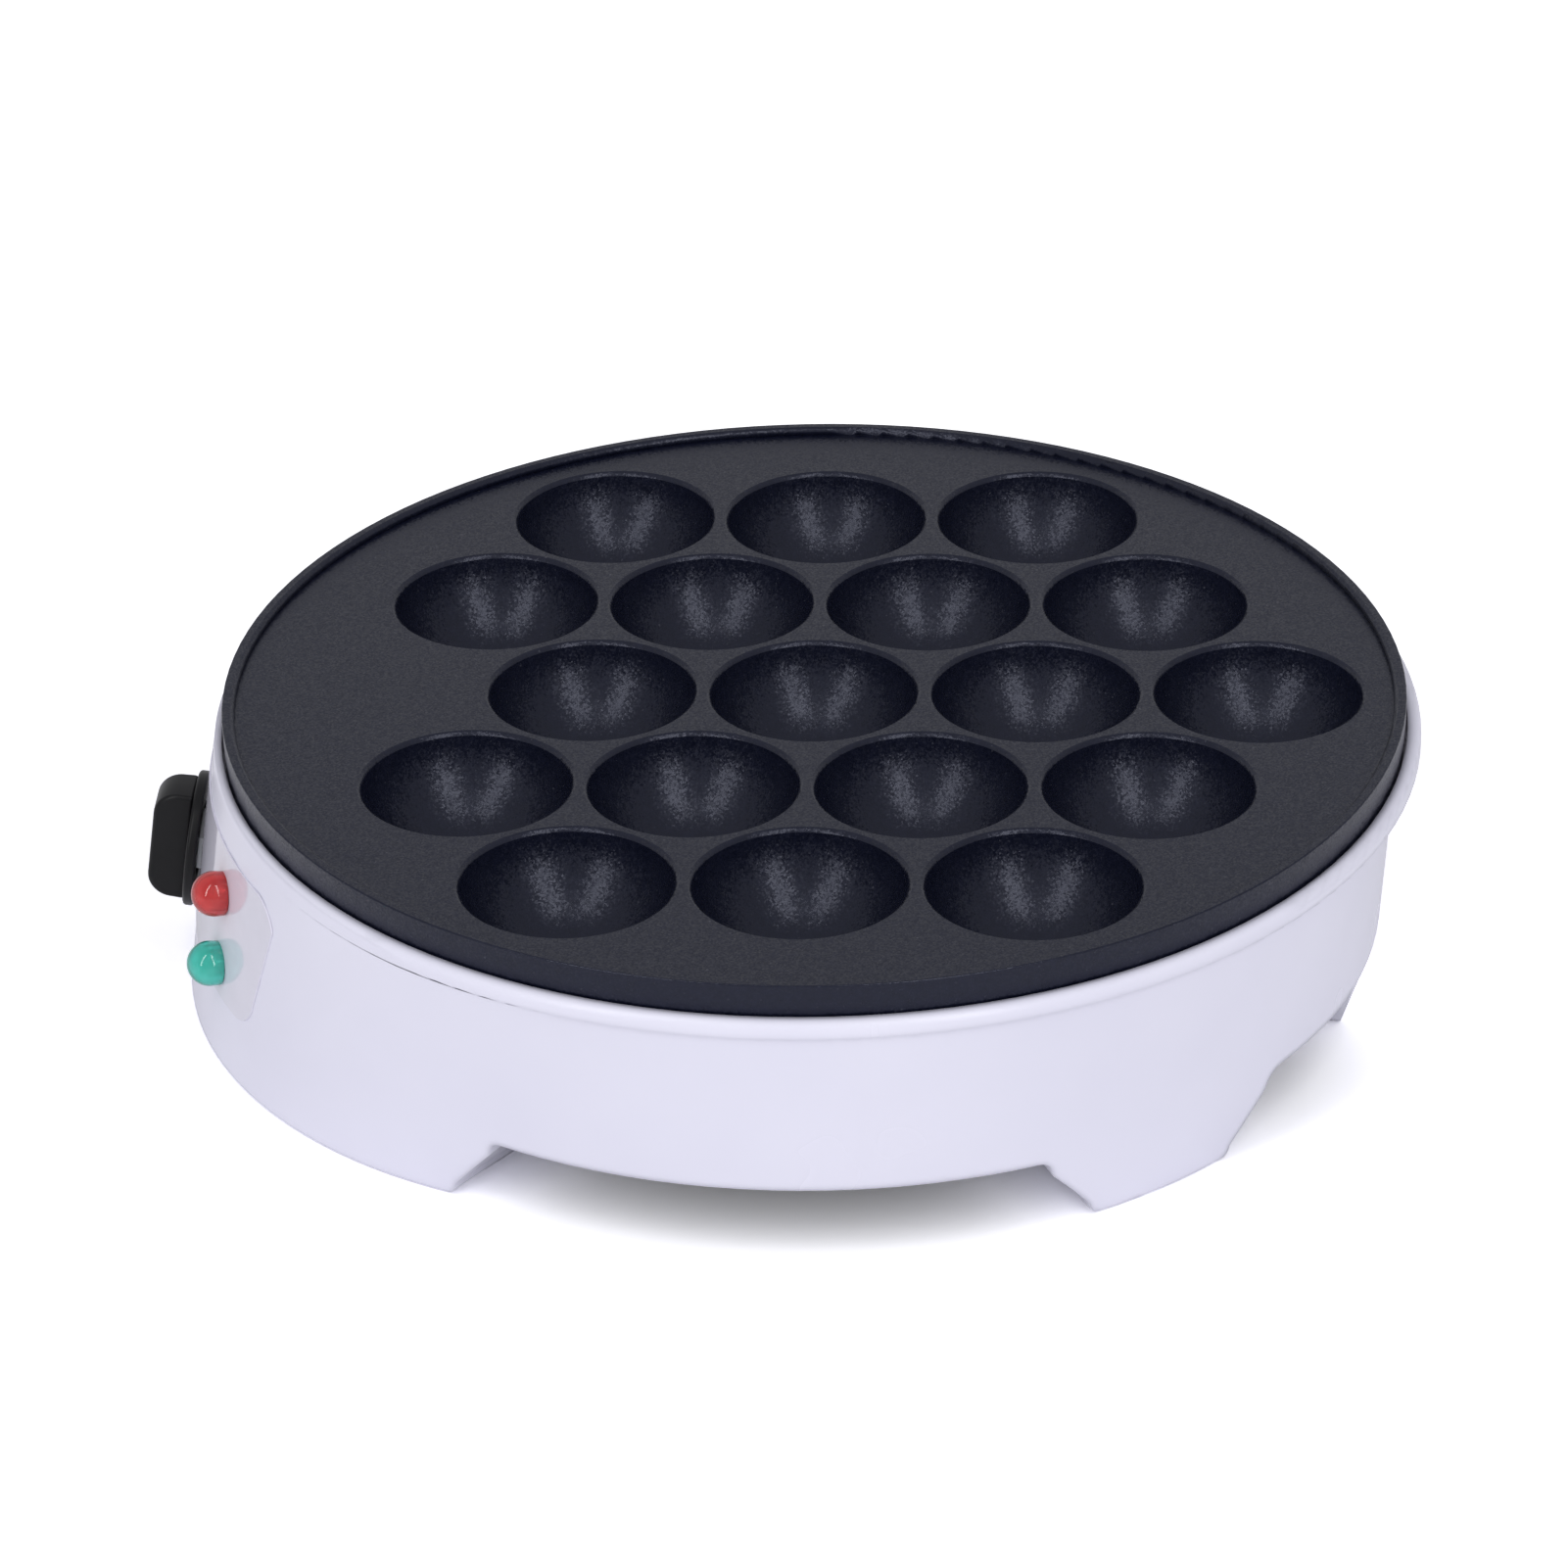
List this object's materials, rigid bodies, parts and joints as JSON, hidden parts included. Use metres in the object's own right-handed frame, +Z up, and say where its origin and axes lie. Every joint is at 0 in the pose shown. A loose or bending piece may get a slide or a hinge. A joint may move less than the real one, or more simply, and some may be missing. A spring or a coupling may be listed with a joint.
{
  "type": "electric takoyaki maker",
  "caption": "Round countertop takoyaki maker: a cast plate of half-ball wells in a white moulded housing with arched feet and a bulging panel with a turning bar knob and two lamps.",
  "frame": {"origin": "on the plate's axis, in the plane of the undersides of the feet", "axes": "+Z up along the plate's axis, -X towards the control panel with the knob, +X towards the rear foot, Y across, +Y on the side of the cord inlet"},
  "size_m": [0.2493, 0.235, 0.0616],
  "materials": {
    "plate_coating": "satin non-stick coating on a cast plate",
    "white_housing": "smooth white moulding with a soft gloss",
    "black_knob": "satin black moulding",
    "red_lens": "clear tinted moulding",
    "green_lens": "clear tinted moulding",
    "neon_glass": "clear bulb",
    "clear_film": "glossy film",
    "bright_steel": "plated",
    "dark_steel": "dark coated sheet",
    "pan_sheet": "bright pressed sheet",
    "element_sheath": "heat-tinted sheath",
    "ceramic": "unglazed ceramic",
    "copper_tube": "drawn copper",
    "brass_parts": "turned",
    "black_resin": "moulded resin",
    "grey_rubber": "matt",
    "wire_sleeve": "woven glass sleeve"
  },
  "bodies": {
    "base": {"cooking_plate": "plate_coating", "housing": "white_housing", "thermostat_bush": "brass_parts", "thermostat_nut": "bright_steel", "thermostat_body": "black_resin", "sensor_bulb": "copper_tube", "capillary_tube": "copper_tube", "red_lens": "red_lens", "green_lens": "green_lens", "neon_lamps": "neon_glass", "lens_clips": "bright_steel", "panel_label": "clear_film", "reflector_pan": "pan_sheet", "heating_element": "element_sheath", "element_insulators": "ceramic", "element_clips": "bright_steel", "plate_screws": "bright_steel", "plate_washers": "bright_steel", "base_screws": "bright_steel", "foot_pads": "grey_rubber", "base_cover": "dark_steel", "cord_grommet": "black_resin", "terminal_block": "ceramic", "hookup_wires": "wire_sleeve", "thermal_fuse": "bright_steel", "fuse_clamp": "bright_steel"},
    "knob": {"control_knob": "black_knob", "knob_clip": "bright_steel", "thermostat_spindle": "brass_parts"}
  },
  "joints": [
    {"name": "knob_turn", "type": "hinge", "parent": "base", "child": "knob", "pos_m": [-0.12044, 0, 0.0264], "axis": [-0.9895, 0, 0.1447], "range_deg": [-270, 0]}
  ]
}
